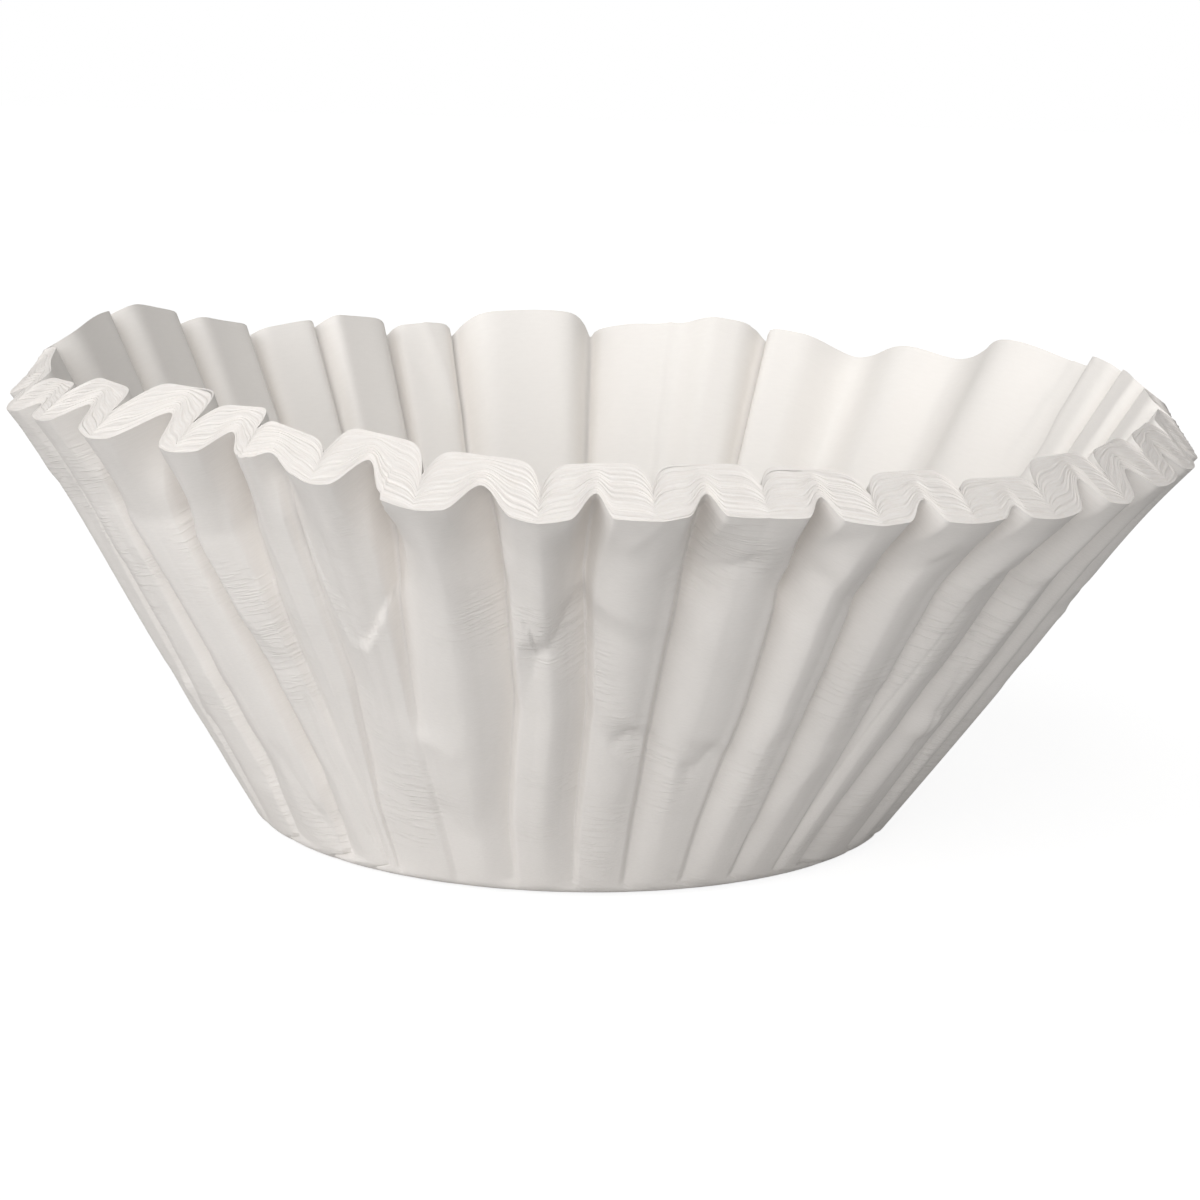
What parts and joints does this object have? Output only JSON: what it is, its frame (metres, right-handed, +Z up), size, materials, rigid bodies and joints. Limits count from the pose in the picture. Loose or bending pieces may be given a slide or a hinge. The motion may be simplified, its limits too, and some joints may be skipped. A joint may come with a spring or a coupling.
{
  "type": "paper coffee filter",
  "caption": "Nest of fluted, flat-bottomed paper coffee filters pressed together, an open bowl with a wavy layered rim.",
  "frame": {"origin": "centre of the underside of the flat bottom, on the surface that the nest stands on", "axes": "+Z up out of the open mouth, -Y towards the side that the picture shows, +X to its right"},
  "size_m": [0.1535, 0.1559, 0.0636],
  "materials": {
    "filter_paper": "matt white crepe filter paper, faintly warm, with a soft fibrous cut edge at the rim"
  },
  "bodies": {
    "root": {"filter_stack": "filter_paper"}
  },
  "joints": []
}
